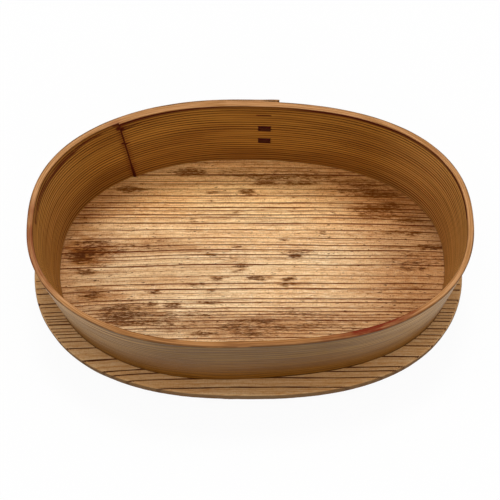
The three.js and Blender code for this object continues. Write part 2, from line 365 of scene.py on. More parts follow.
# ---------------------------------------------------------------- grain and stains of the board
# Dark growth lines where they cross the middle of the board, as (y, depth of colour)
GROWTH_LINES = (
    (64.8, 0.6), (61.2, 0.5), (57.4, 0.4), (55.7, 0.35), (52.3, 0.35), (50.2, 0.3), (48.4, 0.85),
    (44.9, 0.4), (43.3, 0.45), (40.4, 0.4), (38.6, 0.2), (36.6, 0.9), (32.7, 0.65), (30.0, 0.95),
    (28.2, 0.5), (26.0, 0.8), (24.3, 0.7), (21.3, 0.9), (17.7, 0.6), (15.7, 0.2), (13.3, 0.6),
    (11.2, 0.25), (9.5, 0.8), (6.8, 0.95), (4.2, 0.55), (2.4, 0.5), (-1.2, 1.0), (-2.9, 0.15),
    (-7.1, 0.5), (-8.7, 0.2), (-11.1, 0.7), (-14.0, 1.1), (-16.1, 0.25), (-19.3, 0.75), (-21.1, 0.55),
    (-23.9, 0.55), (-25.8, 0.65), (-27.5, 0.5), (-28.8, 0.6), (-30.4, 0.85), (-32.5, 0.4),
    (-34.2, 0.6), (-35.6, 0.4), (-37.4, 0.5), (-39.5, 0.6), (-41.3, 0.3), (-43.0, 0.8),
    (-45.6, 0.15), (-48.7, 0.95), (-51.6, 0.12), (-54.1, 0.9), (-56.2, 0.8), (-59.4, 0.85),
    (-61.7, 0.12), (-64.0, 0.85), (-67.2, 0.15),
)
LINE_HALF_WIDTH = 0.34

# Depths of the weathered surface: everywhere, in a growth line, between two lines, and of two noises
LEAST_WEAR = 0.01
LINE_RELIEF = 0.13
RING_HOLLOW = 0.03
LONG_WEAR = 0.03
SHORT_WEAR = 0.015

# Old stains on the floor, as (x, y, half length, half width, strength)
FLOOR_STAINS = (
    (-30, 49.5, 9, 1.8, 0.75), (-31, 51.2, 6, 1.0, 0.5), (-8, 50.5, 12, 1.2, 0.45),
    (2, 48.0, 10, 0.9, 0.5), (14, 46.6, 12, 1.5, 0.6), (28, 47.5, 12, 1.8, 0.45),
    (40, 46.6, 9, 1.5, 0.45), (20, 50.8, 16, 1.0, 0.3), (26, 43.4, 9, 0.9, 0.85), (9, 43.4, 6, 0.8, 0.75),
    (56, 44.6, 14, 1.6, 0.5), (64, 42.5, 10, 1.0, 0.5), (58, 39.4, 18, 0.9, 0.5), (68, 37.0, 10, 1.3, 0.85),
    (74, 36.8, 6, 1.5, 0.7), (40, 39.4, 8, 1.0, 0.3), (68, 29.6, 15, 2.0, 0.6), (76, 31.5, 8, 1.4, 0.5),
    (70, 24.8, 14, 1.3, 0.45), (82, 22.6, 7, 1.4, 0.6), (60, 22.4, 9, 1.0, 0.3), (76, 16.0, 9, 1.2, 0.55),
    (84, 15.6, 5, 0.9, 0.6), (92, 8.0, 6, 1.1, 0.9), (78, 8.0, 12, 1.2, 0.5), (84, 4.0, 10, 1.3, 0.4),
    (84, -0.5, 9, 1.0, 0.4), (84, -3.6, 9, 1.1, 0.45), (70, 0.4, 8, 0.8, 0.3), (-1.5, 39.0, 3.0, 1.4, 0.85),
    (-62, 40.0, 5, 1.1, 0.95), (-55, 40.3, 5, 0.5, 0.5), (-18, 38.5, 4, 0.5, 0.6),
    (-28.5, 22.9, 1.8, 0.8, 0.7), (-80, 11.0, 8, 1.2, 0.6), (-84, 5.6, 7, 2.0, 0.75),
    (-74, 6.0, 12, 1.4, 0.4), (-70, 9.0, 16, 0.9, 0.35), (-86, 1.6, 4, 1.2, 0.8), (-78, -1.6, 10, 0.9, 0.5),
    (-83, -5.0, 5, 1.0, 0.8), (-68, -5.4, 9, 1.0, 0.3), (-78, -17.6, 5, 1.3, 0.7), (-77, -16.0, 6, 0.5, 0.6),
    (-40, 12.0, 8, 0.9, 0.35), (-50, 8.0, 8, 0.8, 0.3), (-47, -15.6, 3, 0.9, 0.8), (-62, -28.5, 9, 2.4, 0.55),
    (-64, -24.0, 10, 1.6, 0.4), (-54, -31.4, 16, 1.4, 0.55), (-38, -22.5, 4, 1.1, 0.6),
    (-48, -22.0, 3, 0.6, 0.7), (-44, -27.5, 10, 1.2, 0.35), (-18, -21.2, 6, 0.7, 0.75),
    (-30, -33.5, 16, 1.2, 0.35), (4, -31.0, 12, 0.8, 0.6), (14, -34.2, 14, 1.3, 0.35),
    (-8, -33.5, 10, 1.4, 0.35), (-22, -37.8, 5, 0.8, 0.7), (1, -37.5, 8, 0.8, 0.6),
    (32, -33.5, 16, 1.4, 0.35), (44, -35.5, 10, 1.0, 0.3), (-16, -8.7, 3, 0.8, 0.6),
    (5.5, -8.7, 5, 0.9, 0.75), (20, -9.0, 3, 0.8, 0.75), (20, -12.0, 4, 0.5, 0.6), (-4, -1.8, 3, 0.5, 0.75),
    (-4, -4.2, 4, 0.6, 0.6), (24, 3.4, 2.5, 0.7, 0.7), (27, 5.6, 7, 1.0, 0.3), (-18, 3.8, 3.5, 0.4, 0.7),
    (-18, -15.5, 2, 1.0, 0.5), (18, 12.2, 2.2, 0.6, 0.6), (-6, 27.0, 1.8, 0.7, 0.6),
    (38, 15.8, 1.2, 0.6, 0.7), (59, 26.0, 1.6, 0.5, 0.6), (-84, -14.0, 7, 1.0, 0.4),
    (84, -13.0, 8, 0.9, 0.35), (80, -21.5, 8, 1.0, 0.35), (-26, -12.0, 4, 0.4, 0.7), (-5, 8.3, 2.5, 0.5, 0.6),
    (-62, 23.6, 3, 0.3, 0.3), (-20, -27.8, 14, 0.7, 0.5), (22, -27.0, 18, 0.7, 0.35),
)

# Wider brown shades round the stains
FLOOR_SHADES = (
    (62, 37, 30, 9, 0.35), (20, 47, 45, 6, 0.2), (-30, 50, 16, 5, 0.1), (76, 26, 20, 10, 0.5),
    (88, 4, 20, 12, 0.5), (84, -14, 16, 10, 0.35), (-84, 4, 16, 12, 0.95), (-86, 22, 14, 12, 0.7),
    (-78, -16, 18, 9, 0.65), (-62, -27, 22, 8, 0.65), (8, -35, 40, 7, 0.5), (-24, -33, 26, 6, 0.4),
    (-72, 38, 16, 8, 0.3), (60, -28, 20, 8, 0.4), (-45, 8, 34, 7, 0.5), (-50, -6, 40, 14, 0.35),
)

# Where small dark flecks crowd together
FLECK_CLUSTERS = (
    (-78, 6, 18, 8, 0.9), (-50, 9, 16, 4, 0.5), (-60, -27, 22, 8, 1.0), (-40, -31, 22, 6, 0.8),
    (4, -34, 30, 7, 0.8), (-22, -26, 20, 4, 0.6), (26, -28, 22, 5, 0.6), (68, 29, 16, 6, 0.8),
    (60, 40, 24, 5, 0.8), (82, 18, 12, 7, 0.5), (84, -1, 14, 7, 0.6), (24, 5, 12, 3, 0.7),
    (-8, 2, 12, 3, 0.6), (12, 47, 40, 4, 0.6), (-30, 50, 10, 3, 0.6), (-28, 6, 10, 3, 0.5),
    (-72, -17, 16, 4, 0.4), (40, -32, 20, 5, 0.5),
)


def grain_bow(x, y):
    """How far the growth lines bend away from straight, from the board's middle to its ends."""
    reach = (np.asarray(x, float) / 100) ** 2
    left = 2.7 * ease(y, 22, 2) + 3.0 * ease(y, -44, -62)
    right = 0.9 + 1.3 * ease(y, -2, 14) - 1.6 * ease(y, -44, -62)
    wave = wander2(x, y, 34, 22, 3, 0.28) + wander2(x, y, 13, 9, 4, 0.1)
    return reach * np.where(np.asarray(x) < 0, left, right) - wave


def growth_fields(x, g):
    """Per point: how far it is in a dark line, and its share of the way between two lines."""
    lines = sorted(GROWTH_LINES)
    late = np.zeros_like(g)
    for k, (place, depth) in enumerate(lines):
        half = LINE_HALF_WIDTH * (0.85 + 0.4 * depth) * (1 + wander(x, 9, 40 + k, 0.25))
        fade = 0.85 + wander(x, 23, 140 + k, 0.3)
        late = np.maximum(late, depth * fade * bump_at(g, place, half))
    places = np.array([place for place, _ in lines])
    after = np.clip(np.searchsorted(places, g), 1, len(places) - 1)
    share = (g - places[after - 1]) / (places[after] - places[after - 1])
    return late, np.clip(share, 0, 1)


def board_relief(x, g):
    """Depth of the weathered surface below the board's flat face."""
    late, share = growth_fields(x, g)
    wear = LONG_WEAR * (1 + wander2(x, g, 26, 3.5, 21)) + SHORT_WEAR * (1 + wander2(x, g, 5, 0.9, 22))
    return LEAST_WEAR + LINE_RELIEF * late + RING_HOLLOW * np.sin(np.pi * share) ** 2 + wear


def stain_field(x, y):
    """How dark the old stains are. They have frayed ends along the grain, and the small ones are rounder
    and stronger."""
    dark = np.zeros_like(x)
    fray = wander2(x, y, 2.6, 0.7, 11, 0.35) + wander2(x, y, 7, 0.45, 12, 0.3)
    for place_x, place_y, half_length, half_width, strength in FLOOR_STAINS:
        small = ease(half_length, 8, 4)
        away = np.hypot((x - place_x) / half_length, (y - place_y) / (half_width + 0.25 * small))
        spot = strength * (1 + 0.3 * small) * (1 - ease(away + fray * (1 + small), 0.2, 1.9))
        dark = np.maximum(dark, spot)
    return np.clip(dark, 0, 1)


def shade_field(x, y):
    """How brown the floor is around its stains and towards its ends; the darkening towards the ends is partly
    worn tone, partly painted shade.
    """
    fray = wander2(x, y, 12, 3, 13, 0.3) + wander2(x, y, 5, 0.9, 14, 0.2)
    brown = strongest_spot(FLOOR_SHADES, x, y, fray, 0.2, 1.35)
    # Darker towards the ends, most on the left: partly worn tone, partly painted shade round the lit middle
    ends = ease(np.hypot((x + 14) / 100, (y + 6) / 92), 0.45, 1.0)
    return np.clip(np.maximum(brown, (0.62 + 0.26 * ease(-x, 0, 70)) * ends), 0, 1)


def cluster_field(x, y):
    """How crowded the small flecks are."""
    return strongest_spot(FLECK_CLUSTERS, x, y, wander2(x, y, 6, 2, 15, 0.3), 0.3, 1.2)


# ---------------------------------------------------------------- board
BOARD_COLUMNS = 142
UNDERSIDE_STEP = 3
SLAB_MARGIN = 4
ROW_PITCH = 0.55
LEAST_ROW_PITCH = 0.09
LINE_ROWS = (-1.3, -0.75, -0.35, 0, 0.35, 0.75, 1.3)
OUTLINE_STEPS = 720
OUTLINE_RADIUS = 80
CORNER_STEPS = 9
WAIST_SHARES = (0.2, 0.4, 0.6, 0.8)
GROOVE_LAP_STEPS = 90
GROOVE_STEPS = 420
HOLE_SIDES = 20
OVERRUN = 1

# How far the painted shade at the wall's foot reaches over the floor, and over the flange
FOOT_SHADE_ON_FLOOR = 7
FOOT_SHADE_ON_FLANGE = 4.5

# Heights between which the board's edge turns into its upper face, and into its underside
UPPER_EDGE = (BOARD_THICKNESS - 1.2, BOARD_THICKNESS - 0.4)
LOWER_EDGE = (0.6, 0.2)


def grain_rows():
    """Rows across the grain, close together at each growth line and wider between them."""
    edge = BAND_WIDTH / 2 + BOARD_OVERHANG + SLAB_MARGIN
    close = sorted(place + LINE_HALF_WIDTH * k for place, _ in GROWTH_LINES for k in LINE_ROWS)
    rows = list(np.arange(-edge, close[0], ROW_PITCH))
    for low, high in zip(close, close[1:]):
        parts = int((high - low) / ROW_PITCH) + 1
        rows += [low + (high - low) * k / parts for k in range(parts)]
    rows += list(np.arange(close[-1], edge, ROW_PITCH))
    kept = [rows[0]]
    for row in rows[1:]:
        if row - kept[-1] > LEAST_ROW_PITCH:
            kept.append(row)
    return np.array(kept)


def grain_slab():
    """A slab larger than the board, whose two faces carry the grain's relief, the lower more coarsely."""
    reach = BAND_LENGTH / 2 + BOARD_OVERHANG + SLAB_MARGIN
    rows = grain_rows()
    columns = np.linspace(-reach, reach, BOARD_COLUMNS)
    points, faces, edges, start = [], [], [], 0
    for is_top, step in ((True, 1), (False, UNDERSIDE_STEP)):
        g, x = np.meshgrid(rows, columns[::step], indexing="ij")
        depth = board_relief(x if is_top else -x, g)
        z = BOARD_THICKNESS - depth if is_top else depth
        points.append(np.stack([x, g - grain_bow(x, g), z], -1).reshape(-1, 3))
        index = start + np.arange(g.size).reshape(g.shape)
        quads = np.stack([index[:-1, :-1], index[:-1, 1:], index[1:, 1:], index[1:, :-1]], -1)
        faces += quads.reshape(-1, 4).tolist()
        edges.append((index[0], index[-1], index[:, 0], index[:, -1]))
        start += g.size
    for upper, lower in zip(*edges):
        faces.append([*upper.tolist(), *lower[::-1].tolist()])
    return closed("board", np.concatenate(points), faces)


def board_body():
    """The board's oval with its worn, rounded edges."""
    turn = np.linspace(0, FULL_TURN, OUTLINE_STEPS, endpoint=False)
    plan = oval(turn, BOARD_POWER)
    normal = plan_normal(lambda t: oval(t, BOARD_POWER), turn)
    run = turn * OUTLINE_RADIUS
    nicks = 0.05 * (1 + wander(run, 6, 31)) + 0.03 * (1 + wander(run, 1.5, 32))
    rounding = EDGE_ROUNDING * (1.05 + wander(run, 22, 33, 0.3))
    corner = []
    for angle in np.linspace(0, math.pi / 2, CORNER_STEPS):
        corner.append((rounding * (1 - math.sin(angle)) + nicks, rounding * (1 - math.cos(angle))))
    waist = [(nicks, rounding + (BOARD_THICKNESS - 2 * rounding) * share) for share in WAIST_SHARES]
    profile = corner + waist + [(inset, BOARD_THICKNESS - z) for inset, z in corner[::-1]]
    rings = []
    for inset, z in profile:
        rings.append(np.concatenate([plan + normal * (BOARD_OVERHANG - inset)[:, None], z[:, None]], -1))
    return capped("body", rings)


def groove_cutter():
    """The band's foot with clearance, once round, with a step past each end of the strip."""
    nudge = OUTER_END_TURN - turn_after(GROOVE_CLEARANCE)
    turns, faces = [INNER_END_TURN + nudge], [(0, inner_layer(0)[1])]
    for share in np.linspace(0, 1, GROOVE_LAP_STEPS):
        turns.append(INNER_END_TURN - OVERLAP_SWEEP * share)
        faces.append((outer_layer(share)[0], inner_layer(share)[1]))
    turns.append(OUTER_END_TURN - nudge)
    faces.append((outer_layer(1)[0], inner_layer(1)[1]))
    for share in np.linspace(0, 1, GROOVE_STEPS)[1:-1]:
        turns.append(OUTER_END_TURN - (FULL_TURN - OVERLAP_SWEEP) * share)
        faces.append((0, BAND_THICKNESS))
    turns = np.array(turns)
    outer, inner = np.array(faces).T + np.array([[-GROOVE_CLEARANCE], [GROOVE_CLEARANCE]])
    top = BOARD_THICKNESS + OVERRUN
    corners = ((GROOVE_FLOOR_Z, outer), (top, outer), (top, inner), (GROOVE_FLOOR_Z, inner))
    ring = np.stack([wall_point(turns, z, depth) for z, depth in corners], 1)
    return closed("groove", ring, ring_faces(len(turns), 4, is_loop=True))


def peg_places():
    places = []
    for i in range(PEG_COUNT):
        turn = turn_after(FIRST_PEG_FROM_END + i * PERIMETER / PEG_COUNT)
        places.append(wall_point(turn, BOARD_THICKNESS, sum(wall_faces(turn)) / 2) * (1, 1, 0))
    return places


def peg_radius(z):
    share = (z - PEG_RECESS) / (PEG_TOP_Z - PEG_RECESS)
    return (PEG_HEAD_DIAMETER + (PEG_TIP_DIAMETER - PEG_HEAD_DIAMETER) * share) / 2


def peg_holes():
    profile = [(peg_radius(z) + PEG_CLEARANCE, z) for z in (-OVERRUN, PEG_TOP_Z + PEG_CLEARANCE)]
    return [turned("hole", profile, HOLE_SIDES, place) for place in peg_places()]


def make_board(material):
    board = grain_slab()
    cut_with(board, [board_body()], "INTERSECT")
    cut_with(board, [groove_cutter()])
    cut_with(board, peg_holes())
    clean_cut(board)
    x, y, z = vertices_of(board).T
    g = y + grain_bow(x, y)
    late, share = growth_fields(x, g)
    wall = np.linalg.norm(band_plan(np.arctan2(y, x - BAND_SHIFT_X), BOARD_THICKNESS), axis=-1)
    from_wall = np.hypot(x, y) - wall
    inside = (from_wall < -BAND_THICKNESS / 2) & (z > BOARD_THICKNESS / 2)
    top = ease(z, *UPPER_EDGE)
    # Painted shade where the wall meets the floor and the flange
    shade_on_floor = bump_at(from_wall, -BAND_THICKNESS, FOOT_SHADE_ON_FLOOR)
    foot = np.where(inside, shade_on_floor, bump_at(from_wall, 0, FOOT_SHADE_ON_FLANGE))
    write_fields(
        board,
        grain=np.stack([x, g, z], -1),
        late=late,
        ring=share,
        stain=stain_field(x, y) * inside * top,
        shade=shade_field(x, y) * inside * top,
        cluster=cluster_field(x, y) * inside * top,
        inside=inside,
        face=np.maximum(top, ease(z, *LOWER_EDGE)),
        foot=foot * top,
    )
    finish_piece(board, ["base_board"], material)


# ---------------------------------------------------------------- band
# The gap of the lap closes to a glue line over its first 1/12
GLUE_LINE = 0.02
GLUE_CLOSING = 12

LIFTED_TIP = 0.3
RIPPLE = 0.04
RIPPLED_THICKNESS = 2.5
RIM_WEAR = 0.16
RIM_ROUNDING = 0.55
JOINED_ROUNDING = 0.04
WALL_ROWS = 34
ROWS_BELOW_RIM = (2.2, 1.4, 0.9)
ARRIS_STEPS = 4
RIM_STEPS = 3

# Shares of the way along the strip's inner layer, its single part and its outer layer
INNER_TIP_SHARES = (0, 0.004, 0.009, 0.016, 0.025, *np.linspace(0.036, 1, 88, endpoint=False))
SINGLE_SHARES = (*np.linspace(0, 0.994, 460), 0.996, 0.9975, 0.9985, 0.9993, 1)
OUTER_TIP_SHARES = np.linspace(0, 1, 91)[1:]

# Splits in the thin inner end, as (height above the board, length, mouth)
END_SPLITS = ((54.2, 11.0, 2.4), (38.5, 4.0, 0.8))
SPLIT_TIP = 0.03
SPLIT_DROP = 0.3
SPLIT_LEAD_TURN = 0.01
SPLIT_DEPTHS = (0.05, SCARF_TIP + 1.5)

# Reddish worn places on the rim, as (x, y, reach, strength)
RIM_PATCHES = (
    (37, -55.4, 8, 0.35), (44, -53.7, 8, 0.55), (50, -52.1, 8, 1.0), (56, -50.5, 8, 1.0),
    (63, -48.3, 8, 0.85), (70, -45.8, 8, 0.6), (77, -42, 8, 0.15), (-99, 2, 10, 0.5), (-98, -8, 11, 0.6),
    (-96.5, -17, 10, 0.6), (-95, -24, 10, 0.5), (-91, -33, 9, 0.35), (-62, 48, 5, 0.3), (84, 30, 7, 0.3),
    (94, 14, 5, 0.25),
)

# Dark reddish streaks inside the left back corner, as (x, half reach, height share, half height)
WALL_STREAKS = ((-94, 11, 0.9, 0.06), (-87, 13, 0.915, 0.055), (-80, 13, 0.915, 0.045), (-73, 10, 0.94, 0.03))

# Longest run from a place that the materials still tell apart
FAR = 20
SAME_RUN = 1e-6

# Depths below the rim between which the wall turns into the rim
RIM_EDGE = (0.62, 0.3)


def rim_height(along):
    """The rim's own height, a little worn here and there."""
    return RIM_Z - RIM_WEAR - wander(along, 17, 51, 0.09) - wander(along, 5, 52, 0.04)


def band_profile(outer, inner, along, joined_side):
    """One section of the band, from the outer foot over the worn rim to the inner foot.
    The arris that meets the other layer, on the outer side (1) or the inner one (-1), stays sharp."""
    worn = min(RIM_ROUNDING, (inner - outer) / 3)
    rim = float(rim_height(along))
    halves = []
    for side in (1, -1):
        rounding = JOINED_ROUNDING if side == joined_side else worn
        half = [(z, 0) for z in np.linspace(GROOVE_FLOOR_Z, rim - ROWS_BELOW_RIM[0], WALL_ROWS)]
        half += [(rim - below, 0) for below in (*ROWS_BELOW_RIM[1:], rounding)]
        for k in range(1, ARRIS_STEPS + 1):
            angle = math.pi / 2 * k / ARRIS_STEPS
            half.append((rim - rounding * (1 - math.sin(angle)), rounding * (1 - math.cos(angle))))
        halves.append([(z, outer + d if side == 1 else inner - d) for z, d in half])
    start, stop = halves[0][-1][1], halves[1][-1][1]
    middle = [(rim, start + (stop - start) * k / RIM_STEPS) for k in range(1, RIM_STEPS)]
    return halves[0] + middle + halves[1][::-1]


def band_stations():
    """Sections along the strip: turn, outer and inner depth, length along it, share of the outer lap, and
    the side that meets the other layer."""
    stations = []
    for share in INNER_TIP_SHARES:
        turn = INNER_END_TURN - OVERLAP_SWEEP * share
        stations.append((turn, *inner_layer(share), length_at(turn) - PERIMETER, 0, 1))
    for share in SINGLE_SHARES:
        turn = OUTER_END_TURN - (FULL_TURN - OVERLAP_SWEEP) * share
        stations.append((turn, 0, BAND_THICKNESS, length_at(turn), 0, 0))
    for share in OUTER_TIP_SHARES:
        turn = INNER_END_TURN - OVERLAP_SWEEP * share
        along = length_at(turn) if share < 1 else PERIMETER
        outer, inner = outer_layer(share)
        closing = (GLUE_GAP - GLUE_LINE) * min(1, share * GLUE_CLOSING)
        stations.append((turn, outer, inner + closing, along, share, -1))
    return stations


def band_blank():
    stations = band_stations()
    points = []
    for turn, outer, inner, along, lap, joined_side in stations:
        z, depth = np.array(band_profile(outer, inner, along, joined_side)).T
        ripple = wander(along, 11, 53, RIPPLE) + RIPPLE
        depth = depth + ripple * np.sign((outer + inner) / 2 - depth) * (inner - outer > RIPPLED_THICKNESS)
        depth -= LIFTED_TIP * ease(lap, 0.86, 0.98) * ease(z, RIM_Z - 14, RIM_Z - 2)
        points.append(wall_point(turn, z, depth))
    size = len(points[0])
    faces = ring_faces(len(stations), size)
    last = (len(stations) - 1) * size
    for i in range((size - 1) // 2):
        a, b, c, d = i, i + 1, size - 2 - i, size - 1 - i
        faces.append(list(dict.fromkeys((a, d, c, b))))
        faces.append(list(dict.fromkeys(last + corner for corner in (a, b, c, d))))
    return closed("band", np.array(points), faces)


def split_cutters():
    """Thin wedges that open at the inner end's edge and run along the grain."""
    cutters = []
    layer = BAND_THICKNESS + GLUE_GAP
    for height, length, mouth in END_SPLITS:
        z = BOARD_THICKNESS + height
        start = INNER_END_TURN + SPLIT_LEAD_TURN
        stop = float(turn_after(length_at(INNER_END_TURN) + length))
        points = []
        for turn, half, drop in ((start, mouth / 2, 0), (stop, SPLIT_TIP, SPLIT_DROP)):
            for depth in SPLIT_DEPTHS:
                points += [wall_point(turn, z + side * half - drop, layer + depth) for side in (-1, 1)]
        cutters.append(closed("split", points, BLOCK_FACES))
    return cutters


def wall_turn_depth(x, y, z):
    """The turn and the depth of points in the wall."""
    shift = BAND_SHIFT_X + (z - BOARD_THICKNESS) / BAND_HEIGHT * RIM_DRIFT_X
    plan = np.stack([x, y], -1)
    turn = np.arctan2(y, x - shift)
    for _ in range(4):
        normal = plan_normal(lambda t: band_plan(t, z), turn)
        depth = ((band_plan(turn, z) - plan) * normal).sum(-1)
        face = plan + normal * depth[:, None]
        turn = np.arctan2(face[:, 1], face[:, 0] - shift)
    return turn, depth


def rim_patches(turn, x, y):
    fray = wander(length_at(turn), 4.5, 61, 0.12) + wander(length_at(turn), 1.2, 62, 0.08)
    spots = [(place_x, place_y, reach, reach, strength) for place_x, place_y, reach, strength in RIM_PATCHES]
    return strongest_spot(spots, x, y, fray, 0.3, 1.1)


def wall_streaks(x, y, z, outside):
    height = (z - BOARD_THICKNESS) / BAND_HEIGHT + wander(x, 7, 63, 0.012)
    swayed = x + wander(z, 2.0, 64, 2)
    dark = np.zeros_like(x)
    for place, reach, middle, half in WALL_STREAKS:
        dark = np.maximum(dark, bump_at(height, middle, half) * bump_at(swayed, place, reach))
    return dark * (y > 0) * (outside < 0.5)


def make_band(material):
    band = band_blank()
    cut_with(band, slit_cutters() + split_cutters() + peg_holes())
    x, y, z = vertices_of(band).T
    turn, depth = wall_turn_depth(x, y, z)
    share = np.mod(INNER_END_TURN - turn, FULL_TURN) / OVERLAP_SWEEP
    outer, inner = wall_faces(turn)
    run = length_at(turn)
    on_inner_layer = (share <= 1) & (depth > (outer_layer(share)[1] + inner_layer(share)[0]) / 2)
    along = np.where(on_inner_layer, run - PERIMETER, run)
    below = rim_height(along) - z
    rim = ease(below, *RIM_EDGE)
    outside = 1 - ease(depth, outer + 0.25, inner - 0.25)
    across = ((depth - outer) / (inner - outer)).clip(0, 1)
    past_end = run - length_at(INNER_END_TURN)
    backs = np.maximum(ease(x, -62, -60) * ease(x, 0, -26), ease(x, 12, 34))
    lace_run = run - (PERIMETER - LACE_FROM_END)
    lace_run = np.where(lace_run < -PERIMETER / 2, lace_run + PERIMETER, lace_run)
    write_fields(
        band,
        grain=np.stack([along, depth, z], -1),
        height=(z - BOARD_THICKNESS) / BAND_HEIGHT,
        below=below,
        outside=np.where(rim > 0.5, 0.5, depth < (outer + inner) / 2),
        across=across * rim,
        patch=rim_patches(turn, x, y) * rim,
        streak=wall_streaks(x, y, z, outside),
        from_end=np.minimum(np.abs(past_end), FAR),
        strip=past_end > -SAME_RUN,
        # Where the inside is painted lighter at the ends, as painted light
        ends=ease(x, 58, 94) + 0.6 * ease(-x, 72, 100),
        # Where the painted sheen lies on the outside, towards the ends
        flank=ease(np.abs(x), 30, 85),
        # Where the rim top is painted lighter as a highlight: the back and the ends
        pale=np.maximum(ease(y, -40, 20), ease(np.abs(x), 50, 80)),
        # Painted shadow under the rim's inner arris, strongest at the back
        soot=np.where(y > 0, 0.4 + 0.6 * backs, 0.5),
        lace_run=np.minimum(np.abs(lace_run), FAR),
    )
    finish_piece(band, ["side_band"], material)


# ---------------------------------------------------------------- lacing
# It has its own axes at the board's top: along the wall, outwards and up
LACE_TURN = float(turn_after(-LACE_FROM_END))
LACE_FACES = [float(depth) for depth in wall_faces(LACE_TURN)]
LACE_ORIGIN = wall_point(LACE_TURN, BOARD_THICKNESS, 0)
LACE_OUT = np.append(plan_normal(lambda t: band_plan(t, BOARD_THICKNESS), LACE_TURN), 0)
LACE_AXES = np.array([(LACE_OUT[1], -LACE_OUT[0], 0), LACE_OUT, (0, 0, 1)])

LACE_SIDES = 28
LACE_STEP = 0.9
LACE_FILL = 0.96
LACE_EDGE_WEAR = 0.06
LACE_EDGE_POWER = 0.28
LACE_FACE_POWER = 0.6
LACE_CREASE_DEGREES = 50
ROUNDING_PASSES = 2


def lace_place(along, out, up):
    return LACE_ORIGIN + np.stack(np.broadcast_arrays(along, out, up), -1) @ LACE_AXES


def lace_wall(depth, height):
    """The wall at the lacing, as (outwards, up)."""
    point = wall_point(LACE_TURN, BOARD_THICKNESS + height, depth) - LACE_ORIGIN
    return float(point @ LACE_OUT), float(point[2])


def slits():
    """From the top one down: height, whether the strip goes inwards through it, and whether it is blind."""
    found = [(TOP_SLIT_HEIGHT, False, False)]
    half = (STITCH_HEIGHT - LACE_THICKNESS) / 2
    pitch = (TOP_SLIT_HEIGHT - LOWEST_SLIT_HEIGHT) / (STITCH_COUNT + 1)
    for i in range(1, STITCH_COUNT + 1):
        middle = TOP_SLIT_HEIGHT - i * pitch
        found += [(middle + half, True, False), (middle - half, False, False)]
    return found + [(LOWEST_SLIT_HEIGHT, True, True)]


def slit_cutters():
    cutters = []
    half_width = LACE_WIDTH / 2 + LACE_CLEARANCE
    half_height = LACE_THICKNESS / 2 + LACE_CLEARANCE
    for height, _, is_blind in slits():
        inner = LACE_FACES[1] + (LACE_CLEARANCE - BLIND_SLIT_FLOOR if is_blind else OVERRUN)
        depths = (lace_wall(inner, height)[0], lace_wall(LACE_FACES[0] - OVERRUN, height)[0])
        points = []
        for up in (height - half_height, height + half_height):
            for out in depths:
                points += [lace_place(along, out, up) for along in (-half_width, half_width)]
        cutters.append(closed("slit", points, BLOCK_FACES))
    return cutters


def lace_line():
    """The strip's middle line, with its corners cut round."""
    outside = LACE_FACES[0] - LACE_CLEARANCE - LACE_THICKNESS / 2
    inside = LACE_FACES[1] + LACE_CLEARANCE + LACE_THICKNESS / 2
    corners = []
    for height, is_inward, is_blind in slits():
        start, stop = (outside, inside) if is_inward else (inside, outside)
        corners.append(lace_wall(start, height))
        corners.append(lace_wall(LACE_FACES[1] - BLIND_SLIT_FLOOR if is_blind else stop, height))
    corners[0] = lace_wall(LACE_FACES[1] - LACE_CLEARANCE, TOP_SLIT_HEIGHT)
    corners = np.array(corners)
    line = [corners[0]]
    for here, there in zip(corners, corners[1:]):
        parts = max(2, int(np.linalg.norm(there - here) / LACE_STEP))
        line += [here + (there - here) * k / parts for k in range(1, parts + 1)]
    line = np.array(line)
    for _ in range(ROUNDING_PASSES):
        cuts = [line[:-1] * share + line[1:] * (1 - share) for share in (0.75, 0.25)]
        line = np.concatenate([line[:1], np.stack(cuts, 1).reshape(-1, 2), line[-1:]])
    return line


def squared(value, power):
    """Pushes a sine or cosine towards -1 and 1, the more so the lower the power is."""
    return np.sign(value) * np.abs(value) ** power


def make_lacing(material):
    line = lace_line()
    step = np.gradient(line, axis=0)
    step /= np.linalg.norm(step, axis=1, keepdims=True)
    run = np.concatenate([[0], np.cumsum(np.linalg.norm(np.diff(line, axis=0), axis=1))])
    angles = np.linspace(0, FULL_TURN, LACE_SIDES, endpoint=False)
    across = squared(np.cos(angles), LACE_EDGE_POWER)
    through = squared(np.sin(angles), LACE_FACE_POWER)
    push = through * LACE_THICKNESS / 2 * LACE_FILL
    rings, fields = [], []
    for (out, up), (step_out, step_up), length in zip(line, step, run):
        along = across * (LACE_WIDTH / 2 - LACE_EDGE_WEAR * (1 + float(wander(length, 4, 71))))
        rings.append(lace_place(along, out - step_up * push, up + step_out * push))
        fields.append(np.stack([along, np.full(LACE_SIDES, length), through], -1))
    lacing = capped("lacing", rings)
    write_fields(lacing, grain=np.concatenate(fields))
    finish_piece(lacing, ["bark_lacing"], material, LACE_CREASE_DEGREES)


# ---------------------------------------------------------------- pegs
PEG_SIDES = 28
PEG_CREASE_DEGREES = 40
PEG_SKIN = 0.01
PEG_END_GAP = 0.02
PEG_TIP_INSET = 0.25

# The head's edge as (inset, height above the head), and heights along the peg
PEG_HEAD_EDGE = ((0.22, 0), (0.06, 0.07), (PEG_SKIN, 0.25))
PEG_HEIGHTS = (4, 8, 12, PEG_TOP_Z - 0.4)


def make_pegs(material):
    low = PEG_RECESS + PEG_END_GAP
    profile = [(peg_radius(low) - inset, low + lift) for inset, lift in PEG_HEAD_EDGE]
    profile += [(peg_radius(z) - PEG_SKIN, z) for z in PEG_HEIGHTS]
    profile.append((peg_radius(PEG_TOP_Z) - PEG_TIP_INSET, PEG_TOP_Z - PEG_END_GAP))
    for i, place in enumerate(peg_places(), 1):
        pin = turned(f"bamboo_peg_{i}", profile, PEG_SIDES, place)
        write_fields(pin, grain=vertices_of(pin) - place)
        finish_piece(pin, [f"peg_{i}"], material, PEG_CREASE_DEGREES)


